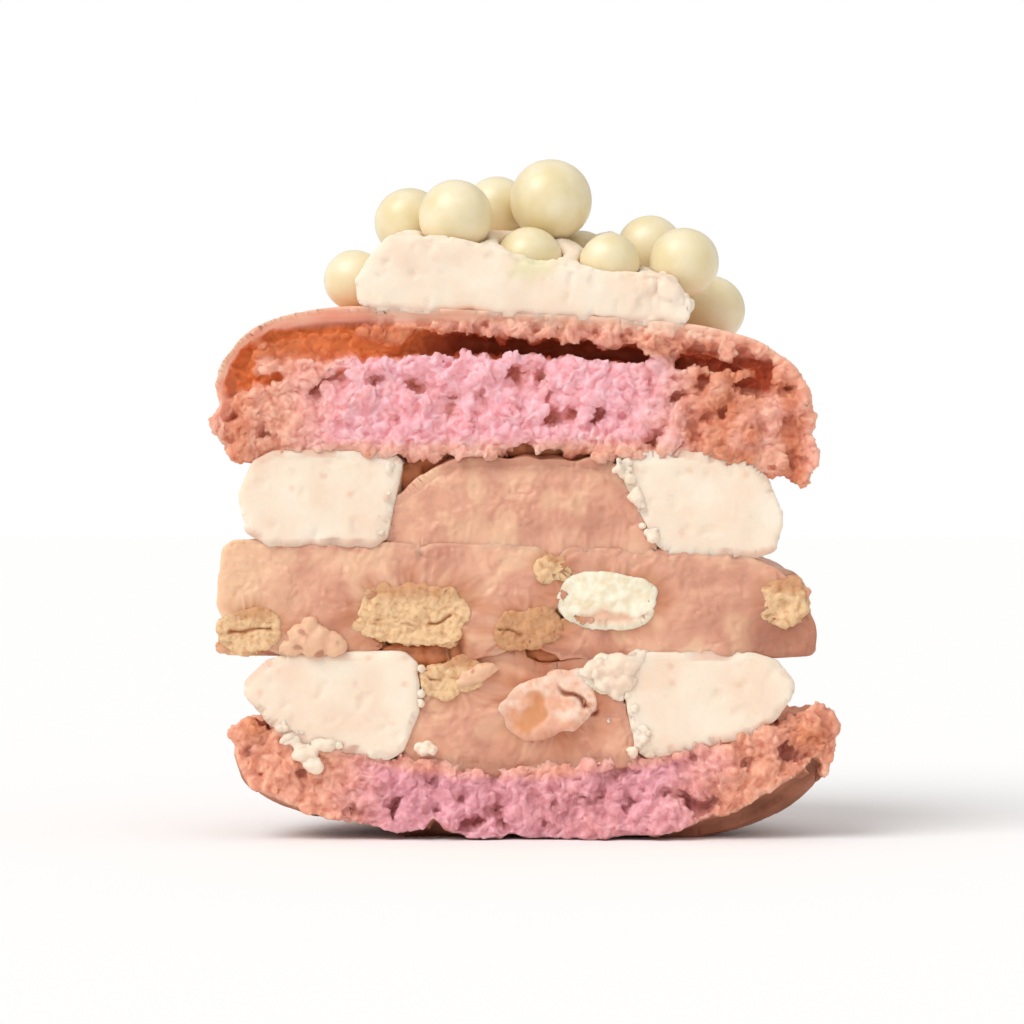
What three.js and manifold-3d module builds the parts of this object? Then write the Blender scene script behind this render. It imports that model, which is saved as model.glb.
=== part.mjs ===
// Half of a tall filled macaron, cut down its middle and standing on its lower shell.
// Millimetres, +Z up. The cut face looks along -Y and the round back lies towards +Y.
// From the bottom: shell, ring of buttercream round a ganache core, slab of ganache with
// biscuit pieces, a second ring and core, the hollow upper shell, and a mound of cream with pearls.
import * as THREE from "three";
import { ParametricGeometry } from "three/addons/geometries/ParametricGeometry.js";
import { ImprovedNoise } from "three/addons/math/ImprovedNoise.js";
import { mergeVertices } from "three/addons/utils/BufferGeometryUtils.js";
import Module from "manifold-3d";

const wasm = await Module();
wasm.setup();
const perlin = new ImprovedNoise();
const { lerp, smoothstep } = THREE.MathUtils;

// Driving dimensions
const shellRadius = 25;
const clearance = 0.3; // between neighbouring pieces
const lowerShellShift = 1.6; // the lower shell sits this far to the right of the stack
const bowlFloor = 5.8; // heights of the layers on the stack's axis
const slabFloorHeight = 15.1;
const slabRoofHeight = 23.7;
const upperShellHeight = 31.5;
const upperCrownHeight = 42.9;
const upperCrownLean = 0.05; // how far its crown drops for each millimetre to the right
const upperFootDroop = 2.2; // how far its foot sags over the cream on the right
const slabLean = 0.027;
const slabRadius = 24.6;
const slabShift = -0.35;
const moundRadius = 13.4;
const moundShift = 0.6;
const moundHeight = 6.7;
const moundFall = 2.3; // how much lower its right half is behind the cut
const flatSpotDepth = 0.7; // how much of the lower dome is pressed flat where it rests

// Smooth unevenness between about -1 and 1, with hills the given width apart.
function waver(x, y, z, width) {
  return 1.6 * perlin.noise(x / width, y / width, z / width);
}

// Surfaces that two layers share: heights over the point (x, y).
const bowlHeight = (x, y) =>
  bowlFloor + 0.008 * ((x - lowerShellShift) ** 2 + y ** 2) + 0.03 * x;
const slabFloor = (x, y) => slabFloorHeight + 0.15 * waver(x, y, 1, 8);
const slabRoof = (x, y) =>
  slabRoofHeight - slabLean * x - 2.4 * smoothstep(x, 19.5, 25) + 0.12 * waver(x, y, 5, 7);
const upperShellFloor = (x) => upperShellHeight - upperFootDroop * smoothstep(x, 15, 24.5);
const upperShellCrown = (x) => upperCrownHeight - upperCrownLean * x;

const domeReach = 0.985; // share of a shell's radius where its dome meets its foot
const upperDome = { footShare: 0.36, squareness: 5 }; // footShare is the foot's share of the depth
const lowerDome = { footShare: 0.25, squareness: 2.8 };

// Height of the upper shell's top over the point (x, y).
function upperShellRoof(x, y) {
  const share = Math.min(Math.hypot(x, y) / (shellRadius * domeReach), 1);
  const dome = Math.sqrt(1 - share ** upperDome.squareness);
  return lerp(upperShellFloor(x), upperShellCrown(x), lerp(upperDome.footShare, 1, dome));
}

// Solids

// A closed three.js geometry as a manifold-3d solid.
function solidFrom(geometry) {
  const bare = geometry.clone();
  bare.deleteAttribute("normal");
  bare.deleteAttribute("uv");
  const merged = mergeVertices(bare, 1e-4);
  const vertProperties = merged.getAttribute("position").array;
  const triVerts = new Uint32Array(merged.index.array);
  return new wasm.Manifold(new wasm.Mesh({ numProp: 3, vertProperties, triVerts }));
}

// A manifold-3d solid as a three.js geometry.
function geometryFrom(solid) {
  const { numProp, numVert, vertProperties, triVerts } = solid.getMesh();
  const positions = new Float32Array(numVert * 3);
  for (let i = 0; i < numVert; i++) {
    positions.set(vertProperties.subarray(i * numProp, i * numProp + 3), i * 3);
  }
  const geometry = new THREE.BufferGeometry();
  geometry.setAttribute("position", new THREE.BufferAttribute(positions, 3));
  geometry.setIndex(new THREE.BufferAttribute(triVerts, 1));
  geometry.computeVertexNormals();
  return geometry;
}

// A body turned round the Z axis. Its profile is a list of pairs, and place(a, b, angle) says where
// each pair goes. The profile runs outwards, up and back in, from pole to pole or round a loop.
function turned(profile, around, place) {
  const surface = (u, v, target) => {
    const [a, b] = profile[Math.round(v * (profile.length - 1))];
    target.copy(place(a, b, u * 2 * Math.PI));
  };
  return solidFrom(new ParametricGeometry(surface, around, profile.length - 1));
}

// Everything behind the knife: a block whose front face follows relief(x, z), meshed in cells.
function behindKnife(relief, cell, low, high) {
  const wide = 2 * (shellRadius + 4);
  const deep = shellRadius + 6;
  const tall = high - low;
  const block = new THREE.BoxGeometry(
    wide, deep, tall, Math.round(wide / cell), 1, Math.round(tall / cell),
  );
  block.translate(0, deep / 2, (low + high) / 2);
  const position = block.getAttribute("position");
  for (let i = 0; i < position.count; i++) {
    if (position.getY(i) < deep / 2) {
      position.setY(i, relief(position.getX(i), position.getZ(i)));
    }
  }
  return solidFrom(block);
}

// How each food parts under the knife: depth of the cut face behind the plane y = 0.
const crumbFace = (x, z) => 0.2 + 0.34 * waver(x, 3, z, 2.1) + 0.22 * waver(x, 7, z, 4.7);
const creamFace = (x, z) => 0.1 + 0.12 * waver(x, 11, z, 5);
const ganacheFace = (x, z) => 0.45 + 0.3 * waver(x, 17, z, 3.4);
const slabFace = (x, z) => 0.3 + 0.22 * waver(x, 23, z, 3.6);
const biscuitFace = (x, z) => 0.1 + 0.25 * waver(x, 29, z, 1.5);

// Macaron shells

// A shell's profile as shares of its radius and depth: flat face, ruffled foot, crease and dome.
function shellProfile({ footShare, squareness }) {
  const flat = [[0, 0.02], [0.45, 0.02], [0.8, 0]];
  const foot = [[0.935, 0.05], [0.99, 0.29], [1, 0.62], [0.965, 0.88]];
  const domeSteps = 5;
  const dome = [];
  for (let k = 0; k <= domeSteps; k++) {
    const turn = (Math.PI / 2) * (1 - k / domeSteps);
    const reach = domeReach * Math.sin(turn) ** (2 / squareness);
    dome.push([k === domeSteps ? 0 : reach, lerp(footShare, 1, Math.cos(turn))]);
  }
  return [...flat, ...foot.map(([share, up]) => [share, up * footShare]), ...dome];
}

// The foot bubbles out in small ruffles, and the whole shell is a little out of round.
function shellEdge(share, depthShare, angle, { footShare }, seed) {
  const east = Math.cos(angle);
  const north = Math.sin(angle);
  const upFoot = depthShare / footShare;
  const inFoot = (1 - smoothstep(upFoot, 0.8, 1)) * smoothstep(share, 0.85, 0.97);
  const ruffle = waver(east * 9, north * 9, seed + depthShare * 4, 1.1);
  const outOfRound = waver(east, north, seed + 0.5, 1.4);
  return shellRadius * share + share * 0.4 * outOfRound + inFoot * 0.42 * ruffle;
}

function upperShell() {
  const whole = turned(shellProfile(upperDome), 62, (share, depthShare, angle) => {
    const reach = shellEdge(share, depthShare, angle, upperDome, 2);
    const x = reach * Math.cos(angle);
    const y = reach * Math.sin(angle);
    const pits = depthShare < 0.03 ? 0.15 * waver(x, y, 31, 3) : 0;
    return new THREE.Vector3(x, y, lerp(upperShellFloor(x), upperShellCrown(x), depthShare) + pits);
  });
  const knife = behindKnife(crumbFace, 2, upperShellHeight - 3, upperShellHeight + 14);
  return whole.intersect(knife).subtract(hollowUnderCrust());
}

// The hollow that baking leaves under the crust, open at the cut: tallest and shallowest on the left.
function hollowUnderCrust() {
  const reach = 21.4;
  const centre = -1.2;
  const lens = new THREE.SphereGeometry(1, 26, 7).rotateX(Math.PI / 2);
  const position = lens.getAttribute("position");
  const point = new THREE.Vector3();
  for (let i = 0; i < position.count; i++) {
    point.fromBufferAttribute(position, i);
    const x = centre + reach * point.x;
    const y = lerp(3.4, 8.5, smoothstep(x, -15, 0)) * point.y;
    const under = 2.7 + (x < 0 ? 0.0048 : 0.0035) * x ** 2;
    const half = 0.9 + 0.045 * Math.max(0, -x) + 0.22 * waver(x, y, 41, 2.6);
    const side = Math.sign(point.z) * Math.abs(point.z) ** 0.4;
    point.set(x, y, upperShellCrown(x) - under + half * side);
    position.setXYZ(i, point.x, point.y, point.z);
  }
  return solidFrom(lens);
}

function lowerShell() {
  const whole = turned(shellProfile(lowerDome).reverse(), 62, (share, depthShare, angle) => {
    const reach = shellEdge(share, depthShare, angle, lowerDome, 8);
    const x = lowerShellShift + reach * Math.cos(angle);
    const y = reach * Math.sin(angle);
    const brim = Math.min(bowlHeight(x, y), 10.7);
    return new THREE.Vector3(x, y, lerp(brim, -flatSpotDepth, depthShare));
  });
  return whole.intersect(behindKnife(crumbFace, 2, 0, 13));
}

// Buttercream rings and ganache

// A ring's profile: a block with its corners softened, as shares of its width and height.
const ringProfile = [
  [0.5, 0], [0.91, 0], [1, 0.12], [1, 0.5], [1, 0.88], [0.91, 1],
  [0.5, 1], [0.08, 1], [0, 0.9], [0, 0.5], [0, 0.1], [0.08, 0], [0.5, 0],
];

// A piped ring between two surfaces. inner and outer give its two walls from the height share and
// from how far round it is, 0 at the right-hand end and 1 at the left-hand one.
function pipedRing({ inner, outer, floor, roof, seed }) {
  return turned(ringProfile, 40, (across, up, angle) => {
    const leftness = (1 - Math.cos(angle)) / 2;
    const wobble = 0.35 * waver(Math.cos(angle) * 3, Math.sin(angle) * 3, seed + up, 1.2);
    const reach = lerp(inner(up, leftness), outer(up, leftness) + wobble, across);
    const x = reach * Math.cos(angle);
    const y = reach * Math.sin(angle);
    return new THREE.Vector3(x, y, lerp(floor(x, y) + clearance, roof(x, y) - clearance, up));
  });
}

const upperInner = (up, leftness) => lerp(lerp(12, 8, up), lerp(10.9, 9.5, up), leftness);
const upperOuter = (up, leftness) =>
  lerp(19.9, 21.1, leftness) + lerp(1.6, 1.5, leftness) * Math.sin(Math.PI * up ** 0.85);
const lowerInner = (up, leftness) => lerp(10, 8.5, up) - lerp(0, 1.1, leftness) * Math.sin(Math.PI * up);
const lowerOuter = (up, leftness) =>
  lerp(20.2, 19.3, leftness) + lerp(2.3, 3.1, leftness) * Math.sin(Math.PI * up);

function upperRing() {
  const ring = pipedRing({
    inner: upperInner, outer: upperOuter, floor: slabRoof, roof: upperShellFloor, seed: 3,
  });
  return ring.intersect(behindKnife(creamFace, 3, 20, 35));
}

function lowerRing() {
  const ring = pipedRing({
    inner: lowerInner, outer: lowerOuter, floor: bowlHeight, roof: slabFloor, seed: 12,
  });
  return ring.intersect(behindKnife(creamFace, 3, 4, 18));
}

// A plug of ganache inside a ring, with its upper edge worn away more on the left.
function plug({ wall, floor, roof, wear, seed }) {
  const profile = [
    [0, 0], [0.95, 0], [1, 0.1], [1, 0.5], [1, 0.86], [0.9, 1], [0, 1],
  ];
  return turned(profile, 36, (share, up, angle) => {
    const leftness = (1 - Math.cos(angle)) / 2;
    const worn = wear * leftness ** 2 * smoothstep(up, 0.5, 1);
    const wobble = 0.2 * waver(Math.cos(angle) * 2, Math.sin(angle) * 2, seed + up, 1);
    const reach = share * (wall(up, leftness) - clearance - worn - 0.2 + wobble);
    const x = reach * Math.cos(angle);
    const y = reach * Math.sin(angle);
    return new THREE.Vector3(x, y, lerp(floor(x, y) + clearance, roof(x, y) - clearance, up));
  });
}

function upperCore() {
  const core = plug({
    wall: upperInner,
    floor: slabRoof,
    roof: (x, y) => upperShellFloor(x) - 0.5 - 0.3 * Math.abs(waver(x, y, 51, 4)),
    wear: 3.0,
    seed: 21,
  });
  return core.intersect(behindKnife(ganacheFace, 2.3, 20, 35));
}

function lowerCore() {
  const core = plug({
    wall: (up, leftness) => lowerInner(up, leftness),
    floor: bowlHeight,
    roof: (x, y) => slabFloor(x, y) - 0.15,
    wear: 0.5,
    seed: 26,
  });
  return core.intersect(behindKnife(ganacheFace, 2.3, 4, 18));
}

// The slab was cut out with a round cutter: its side is straight and slopes in on the left.
function slab() {
  const profile = [
    [0, 0], [0.75, 0], [0.98, 0], [1, 0.05], [1, 0.5], [1, 0.93], [0.97, 1], [0.75, 1], [0, 1],
  ];
  const disc = turned(profile, 48, (share, up, angle) => {
    const leftness = (1 - Math.cos(angle)) / 2;
    const wobble = 0.3 * waver(Math.cos(angle) * 2, Math.sin(angle) * 2, 33 + up * 0.7, 1);
    const reach = share * (slabRadius - 1.1 * leftness * up + wobble);
    const x = slabShift + reach * Math.cos(angle);
    const y = reach * Math.sin(angle);
    return new THREE.Vector3(x, y, lerp(slabFloor(x, y), slabRoof(x, y), up));
  });
  return disc.intersect(behindKnife(slabFace, 2.6, 13, 26));
}

// Pieces of biscuit and white chocolate that show at the cut: where each one's middle is, its half
// sizes, its tilt in degrees, and the layer that holds it.
const chunks = {
  biscuit_large: { at: [-8.6, 1.6, 18.1], half: [4.3, 2.7, 2.4], tilt: -4, inside: "slab" },
  white_chunk_large: { at: [7.1, 1.4, 19.5], half: [3.6, 2.4, 1.8], tilt: -3, inside: "slab" },
  biscuit_crumb: { at: [2.9, 0.9, 22.1], half: [1.1, 1.2, 0.65], tilt: 18, inside: "slab" },
  biscuit_right: { at: [21.7, 1.6, 19.2], half: [1.5, 2.2, 1.5], tilt: 6, inside: "slab" },
  biscuit_left: { at: [-21.7, 1.5, 17.0], half: [2.2, 2.2, 1.35], tilt: 10, inside: "slab" },
  biscuit_brown: { at: [0.9, 1.2, 17.2], half: [2.4, 2.0, 1.2], tilt: 12, inside: "slab" },
  biscuit_under: { at: [-5.2, 1.2, 13.2], half: [2.1, 1.7, 1.1], tilt: 16, inside: "lower_core" },
  berry_chunk: { at: [2.7, 1.3, 10.9], half: [3.4, 2.3, 1.9], tilt: 18, inside: "lower_core" },
  white_chunk_small: { at: [6.9, 1.1, 13.5], half: [1.1, 1.6, 1.0], tilt: 35, inside: "lower_core" },
};

// A rough lump: an icosphere pushed towards a block and roughened, grown by extra on each side.
function lump({ at, half, tilt }, detail, extra) {
  const blockiness = 4;
  const geometry = new THREE.IcosahedronGeometry(1, detail);
  const position = geometry.getAttribute("position");
  const point = new THREE.Vector3();
  for (let i = 0; i < position.count; i++) {
    point.fromBufferAttribute(position, i);
    const norm = (["x", "y", "z"].reduce((sum, k) => sum + Math.abs(point[k]) ** blockiness, 0)) ** (1 / blockiness);
    const rough = 1 + 0.12 * waver(point.x + at[0], point.y + at[1], point.z + at[2], 0.8);
    point.multiplyScalar(rough / norm);
    position.setXYZ(i, point.x * (half[0] + extra), point.y * (half[1] + extra), point.z * (half[2] + extra));
  }
  geometry.rotateY(THREE.MathUtils.degToRad(-tilt));
  geometry.translate(...at);
  return solidFrom(geometry);
}

// Cream mound and pearls

// White chocolate pearls: centre and radius. The first rows are those seen from the front.
const pearls = [
  [-13.4, 5.0, 45.85, 2.55],
  [-9.0, 8.0, 50.9, 2.93],
  [-5.05, 3.4, 51.0, 3.06],
  [-1.66, 10.9, 52.4, 2.7],
  [2.85, 6.8, 52.65, 3.42],
  [1.0, 3.75, 47.5, 2.72],
  [5.4, 10.0, 47.9, 2.55],
  [7.63, 3.25, 47.2, 2.48],
  [11.2, 9.1, 48.9, 2.77],
  [13.8, 4.1, 47.3, 2.88],
  [16.4, 11.0, 43.8, 2.93],
  [-11.4, 10.9, 45.95, 2.8],
  [-6.5, 14.2, 45.75, 2.9],
  [-0.6, 15.7, 45.3, 2.75],
  [5.3, 15.4, 45.1, 2.85],
  [11.1, 13.6, 44.5, 2.7],
  [-6.4, 12.8, 50.9, 2.4],
  [1.6, 14.6, 50.1, 2.6],
];

// The mound's upper edge along the cut, at even steps from its left end to its right end: how high
// it stands over the shell. It dips between the pearls and ends in a lump.
const crest = [3.9, 5.6, 6.3, 4.8, 4.0, 4.6, 5.0, 3.6, 2.9, 3.8, 3.2];

function crestOver(x) {
  const share = THREE.MathUtils.clamp((x - moundShift + moundRadius) / (2 * moundRadius), 0, 1);
  const step = Math.min(Math.floor(share * (crest.length - 1)), crest.length - 2);
  return lerp(crest[step], crest[step + 1], smoothstep(share * (crest.length - 1) - step, 0, 1));
}

function mound() {
  const profile = [
    [0, 0], [0.94, 0], [1, 0.14], [1.02, 0.45], [0.95, 0.78], [0.82, 0.95], [0.5, 1], [0, 1],
  ];
  let body = turned(profile, 32, (share, up, angle) => {
    const wobble = 0.5 * waver(Math.cos(angle) * 2, Math.sin(angle) * 2, 44, 1);
    const reach = share * (moundRadius + wobble);
    const x = moundShift + reach * Math.cos(angle);
    const y = reach * Math.sin(angle);
    const inside = smoothstep(y, 1, 6);
    const height = lerp(crestOver(x), moundHeight - moundFall * smoothstep(x, 3, 8), inside);
    return new THREE.Vector3(x, y, upperShellRoof(x, y) + clearance + up * height);
  });
  for (const pad of pearlPads()) {
    body = body.add(pad);
  }
  body = body.intersect(behindKnife(creamFace, 3, 40, 56));
  for (const [x, y, z, radius] of pearls) {
    const pocket = new THREE.IcosahedronGeometry(1.07 * radius + clearance, 1).translate(x, y, z);
    body = body.subtract(solidFrom(pocket));
  }
  return body;
}

// Cream squeezed up under the pearls that sit on the mound's shoulder, clear of the shell: a ball
// between the mound's heart and each of them.
function pearlPads() {
  const heart = new THREE.Vector3(moundShift, 5.5, 44.6);
  const onShoulder = pearls.filter(
    ([x, y, z, radius]) => z - radius > 44.2 && Math.hypot(x - moundShift, y) > 12,
  );
  return onShoulder.map(([x, y, z, radius]) => {
    const centre = new THREE.Vector3(x, y, z).lerp(heart, 0.32);
    return solidFrom(new THREE.IcosahedronGeometry(0.9 * radius, 1).translate(...centre));
  });
}

// Materials

const finish = (color, roughness) => new THREE.MeshStandardMaterial({ color, roughness, metalness: 0 });
const materials = {
  shell: finish("#eeaa96", 0.75),
  buttercream: finish("#fbe9d6", 0.6),
  ganache: finish("#e0a68c", 0.45),
  biscuit: finish("#e3bb88", 0.9),
  berry: finish("#ecb08c", 0.6),
  whiteChocolate: finish("#f5ead0", 0.7),
  pearl: finish("#f2e7bd", 0.35),
};

const chunkMaterial = (name) =>
  name.startsWith("white") ? materials.whiteChocolate : name.startsWith("berry") ? materials.berry : materials.biscuit;

// Assembly

const macaron = new THREE.Group();

function addPiece(name, solid, material) {
  const mesh = new THREE.Mesh(geometryFrom(solid), material);
  mesh.name = name;
  macaron.add(mesh);
}

const layers = { slab: slab(), lower_core: lowerCore() };
const chunkKnife = behindKnife(biscuitFace, 3, 8, 26);
const pocketExtra = clearance + 0.38; // its coarser facets cut inside the true lump
for (const [name, chunk] of Object.entries(chunks)) {
  layers[chunk.inside] = layers[chunk.inside].subtract(lump(chunk, 1, pocketExtra));
  addPiece(name, lump(chunk, Math.max(...chunk.half) > 2.3 ? 2 : 1, 0).intersect(chunkKnife), chunkMaterial(name));
}

addPiece("lower_shell", lowerShell(), materials.shell);
addPiece("lower_ring", lowerRing(), materials.buttercream);
addPiece("lower_core", layers.lower_core, materials.ganache);
addPiece("slab", layers.slab, materials.ganache);
addPiece("upper_ring", upperRing(), materials.buttercream);
addPiece("upper_core", upperCore(), materials.ganache);
addPiece("upper_shell", upperShell(), materials.shell);
addPiece("cream_mound", mound(), materials.buttercream);

pearls.forEach(([x, y, z, radius], index) => {
  const mesh = new THREE.Mesh(new THREE.IcosahedronGeometry(radius, 2), materials.pearl);
  mesh.name = "pearl_" + String(index + 1).padStart(2, "0");
  mesh.position.set(x, y, z);
  macaron.add(mesh);
});

// The origin is under the middle of the whole piece, on the surface that it stands on.
const box = new THREE.Box3().setFromObject(macaron, true);
const middle = box.getCenter(new THREE.Vector3());
macaron.position.set(-middle.x, -middle.y, -box.min.z);

export default macaron;
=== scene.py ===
import math
import random

import bmesh
import bpy
import numpy
from mathutils import Euler, Matrix, Vector, noise


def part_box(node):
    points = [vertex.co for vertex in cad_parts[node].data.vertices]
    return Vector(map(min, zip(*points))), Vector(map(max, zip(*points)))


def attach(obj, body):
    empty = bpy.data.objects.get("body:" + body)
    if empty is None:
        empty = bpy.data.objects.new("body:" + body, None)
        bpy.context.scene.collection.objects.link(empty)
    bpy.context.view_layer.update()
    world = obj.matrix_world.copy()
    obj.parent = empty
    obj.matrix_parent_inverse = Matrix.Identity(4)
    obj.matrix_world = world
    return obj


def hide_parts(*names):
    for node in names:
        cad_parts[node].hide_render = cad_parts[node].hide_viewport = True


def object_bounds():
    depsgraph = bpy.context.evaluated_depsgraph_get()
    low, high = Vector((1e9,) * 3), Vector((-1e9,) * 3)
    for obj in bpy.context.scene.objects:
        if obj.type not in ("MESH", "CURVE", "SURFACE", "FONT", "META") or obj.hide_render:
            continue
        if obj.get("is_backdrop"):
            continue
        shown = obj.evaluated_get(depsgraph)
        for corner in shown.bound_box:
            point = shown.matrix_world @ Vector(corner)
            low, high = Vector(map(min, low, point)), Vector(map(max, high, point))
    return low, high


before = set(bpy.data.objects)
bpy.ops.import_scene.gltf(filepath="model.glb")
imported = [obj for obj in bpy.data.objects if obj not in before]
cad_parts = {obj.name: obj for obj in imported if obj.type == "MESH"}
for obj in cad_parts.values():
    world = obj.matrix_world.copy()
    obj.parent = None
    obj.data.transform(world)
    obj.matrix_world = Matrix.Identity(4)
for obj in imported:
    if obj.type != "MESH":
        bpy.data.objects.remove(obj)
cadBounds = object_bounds()

# Half of a tall filled macaron. Lengths in the dictionaries are millimetres, and places are measured
# from the stack's axis (x, to the right), the knife's plane (y, away from the eye) and the floor (z).
# One pearl, whose place in those numbers is known, says where the axis and the plane are in the frame.
mm = 0.001
anchor = (sum(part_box("pearl_06"), Vector()) / 2) / mm - Vector((1.0, 3.75, 0.0))
stackX = anchor.x
knifeY = anchor.y


def place(x, y, z):
    return Vector((stackX + x, knifeY + y, z)) * mm


def smoothstep(low, high, value):
    share = min(max((value - low) / (high - low), 0.0), 1.0)
    return share * share * (3.0 - 2.0 * share)


def bell(value, middle, width):
    return math.exp(-((value - middle) / width) ** 2)


# Meshes

def addPiece(name, mesh, *nodes):
    piece = bpy.data.objects.new(name, mesh)
    bpy.context.scene.collection.objects.link(piece)
    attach(piece, "root")
    if nodes:
        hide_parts(*nodes)
    return piece


def mergedCopy(name, node):
    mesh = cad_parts[node].data.copy()
    mesh.materials.clear()
    bm = bmesh.new()
    bm.from_mesh(mesh)
    bmesh.ops.remove_doubles(bm, verts=bm.verts, dist=0.004 * mm)
    bm.to_mesh(mesh)
    bm.free()
    return addPiece(name, mesh, node)


def refine(piece, cell, rounds):
    # an even mesh with points about a cell apart, and the solid's flat facets rounded away
    grid = piece.modifiers.new("Grid", "REMESH")
    grid.mode = "VOXEL"
    grid.voxel_size = cell * mm
    soften = piece.modifiers.new("Soften", "SMOOTH")
    soften.factor = 0.5
    soften.iterations = rounds
    graph = bpy.context.evaluated_depsgraph_get()
    shaped = bpy.data.meshes.new_from_object(piece.evaluated_get(graph))
    rough = piece.data
    piece.modifiers.clear()
    piece.data = shaped
    bpy.data.meshes.remove(rough)
    shaped.name = piece.name


def splitFaces(piece, wanted):
    # twice as many points along the faces that wanted(middle, normal) picks
    bm = bmesh.new()
    bm.from_mesh(piece.data)
    edges = set()
    for face in bm.faces:
        middle = face.calc_center_median() / mm
        middle.x -= stackX
        middle.y -= knifeY
        if wanted(middle, face.normal):
            edges.update(face.edges)
    bmesh.ops.subdivide_edges(bm, edges=list(edges), cuts=1, use_grid_fill=True)
    bm.to_mesh(piece.data)
    bm.free()


def sculpt(piece, rule):
    # rule(point, normal) gives a shift along the normal, a shift as a vector, and named masks
    mesh = piece.data
    count = len(mesh.vertices)
    places = numpy.empty(count * 3)
    normals = numpy.empty(count * 3)
    mesh.vertices.foreach_get("co", places)
    mesh.vertices.foreach_get("normal", normals)
    points = (places.reshape(count, 3) / mm - numpy.array((stackX, knifeY, 0.0))).tolist()
    moved = []
    masks = {}
    for point, normal in zip(points, normals.reshape(count, 3).tolist()):
        point = Vector(point)
        normal = Vector(normal)
        outward, shift, marks = rule(point, normal)
        moved.append(tuple(point + normal * outward + Vector(shift)))
        for key, value in marks.items():
            masks.setdefault(key, []).append(value)
    moved = numpy.array(moved) + numpy.array((stackX, knifeY, 0.0))
    moved[:, 2] = numpy.maximum(moved[:, 2], 0.0)  # nothing goes through the floor
    mesh.vertices.foreach_set("co", (moved * mm).reshape(-1))
    mesh.update()
    for key, values in masks.items():
        layer = mesh.attributes.new(key, "FLOAT", "POINT")
        layer.data.foreach_set("value", numpy.array(values))


lumpValues = {
    "batch": 30,  # a few at a time, because each new sphere costs as much as the mesh it is added to
    "squeeze": ((0.8, 1.3), (0.75, 1.1), (0.7, 1.1)),
    "roughness": 0.7,
    "grain": 0.6,  # the width of the roughness as a share of the lump's radius
}


def addLumps(piece, lumps, seed):
    # uneven lumps, as x, y, z and radius, that the next refining melts into the piece
    values = lumpValues
    dice = random.Random(seed)
    whole = bmesh.new()
    whole.from_mesh(piece.data)
    for start in range(0, len(lumps), values["batch"]):
        batch = bmesh.new()
        for x, y, z, size in lumps[start:start + values["batch"]]:
            centre = place(x, y, z)
            turn = Euler([dice.uniform(0.0, 6.28) for axis in range(3)]).to_matrix().to_4x4()
            squeeze = Matrix.Diagonal([dice.uniform(*span) for span in values["squeeze"]] + [1.0])
            made = bmesh.ops.create_icosphere(
                batch, subdivisions=2, radius=size * mm, matrix=Matrix.Translation(centre) @ turn @ squeeze,
            )
            for vertex in made["verts"]:
                bulge = noise.noise(vertex.co / (values["grain"] * size * mm))
                vertex.co += (vertex.co - centre) * values["roughness"] * bulge
        appendTo(whole, batch)
    whole.to_mesh(piece.data)
    whole.free()


def appendTo(whole, batch):
    carrier = bpy.data.meshes.new("carrier")
    batch.to_mesh(carrier)
    batch.free()
    whole.from_mesh(carrier)
    bpy.data.meshes.remove(carrier)


still = (0.0, 0.0, 0.0)


def grains(point, size, seed):
    # rounded grains packed side by side, some standing out more than others: 0 in the creases
    distances, centres = noise.voronoi(point / size + Vector((seed, seed * 0.7, 0)))
    lift = 0.55 + 0.45 * noise.cell(centres[0] * 6.3)
    dome = math.sqrt(max(0.0, 1.0 - (distances[0] / 0.95) ** 2))
    crease = smoothstep(0.0, 0.22, distances[1] - distances[0])
    return lift * (0.7 * dome + 0.3 * crease)


def waves(point, size, seed):
    return noise.noise(point / size + Vector((0, seed * 1.37, seed)))


def facing(normal):
    # 1 on a face that the knife left, 0 on the sides
    return smoothstep(0.35, 0.75, -normal.y)


def cutCorner(point, normal):
    # 1 where a face that the knife left turns into a side
    return smoothstep(0.1, 0.5, -normal.y) * smoothstep(0.95, 0.6, -normal.y) * smoothstep(3.0, 1.0, point.y)


# Materials

def linear(hexColour):
    parts = [int(hexColour[i:i + 2], 16) / 255 for i in (1, 3, 5)]
    return [p / 12.92 if p <= 0.04045 else ((p + 0.055) / 1.055) ** 2.4 for p in parts] + [1.0]


def addNode(tree, kind, settings=None, inputs=None, stops=(), out=0):
    node = tree.nodes.new("ShaderNode" + kind)
    for key, value in (settings or {}).items():
        setattr(node, key, value)
    for key, value in (inputs or {}).items():
        if isinstance(value, bpy.types.NodeSocket):
            tree.links.new(value, node.inputs[key])
        else:
            node.inputs[key].default_value = linear(value) if isinstance(value, str) else value
    for k, (position, colour) in enumerate(stops):
        elements = node.color_ramp.elements
        element = elements[k] if k < 2 else elements.new(position)
        element.position = position
        element.color = linear(colour)
    return node.outputs[out]


def newMaterial(name, *masks):
    # an empty material, the object's own coordinates, and the masks that the sculpting left
    material = bpy.data.materials.new(name)
    material.use_nodes = True
    tree = material.node_tree
    tree.nodes.clear()
    where = addNode(tree, "TexCoord", out="Object")
    found = {key: addNode(tree, "Attribute", {"attribute_name": key}, out="Fac") for key in masks}
    return material, tree, where, found


def finish(tree, shader):
    tree.links.new(shader, tree.nodes.new("ShaderNodeOutputMaterial").inputs["Surface"])


def perMm(size):
    # texture scale that gives features about this many millimetres wide
    return 1.0 / (size * mm)


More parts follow.
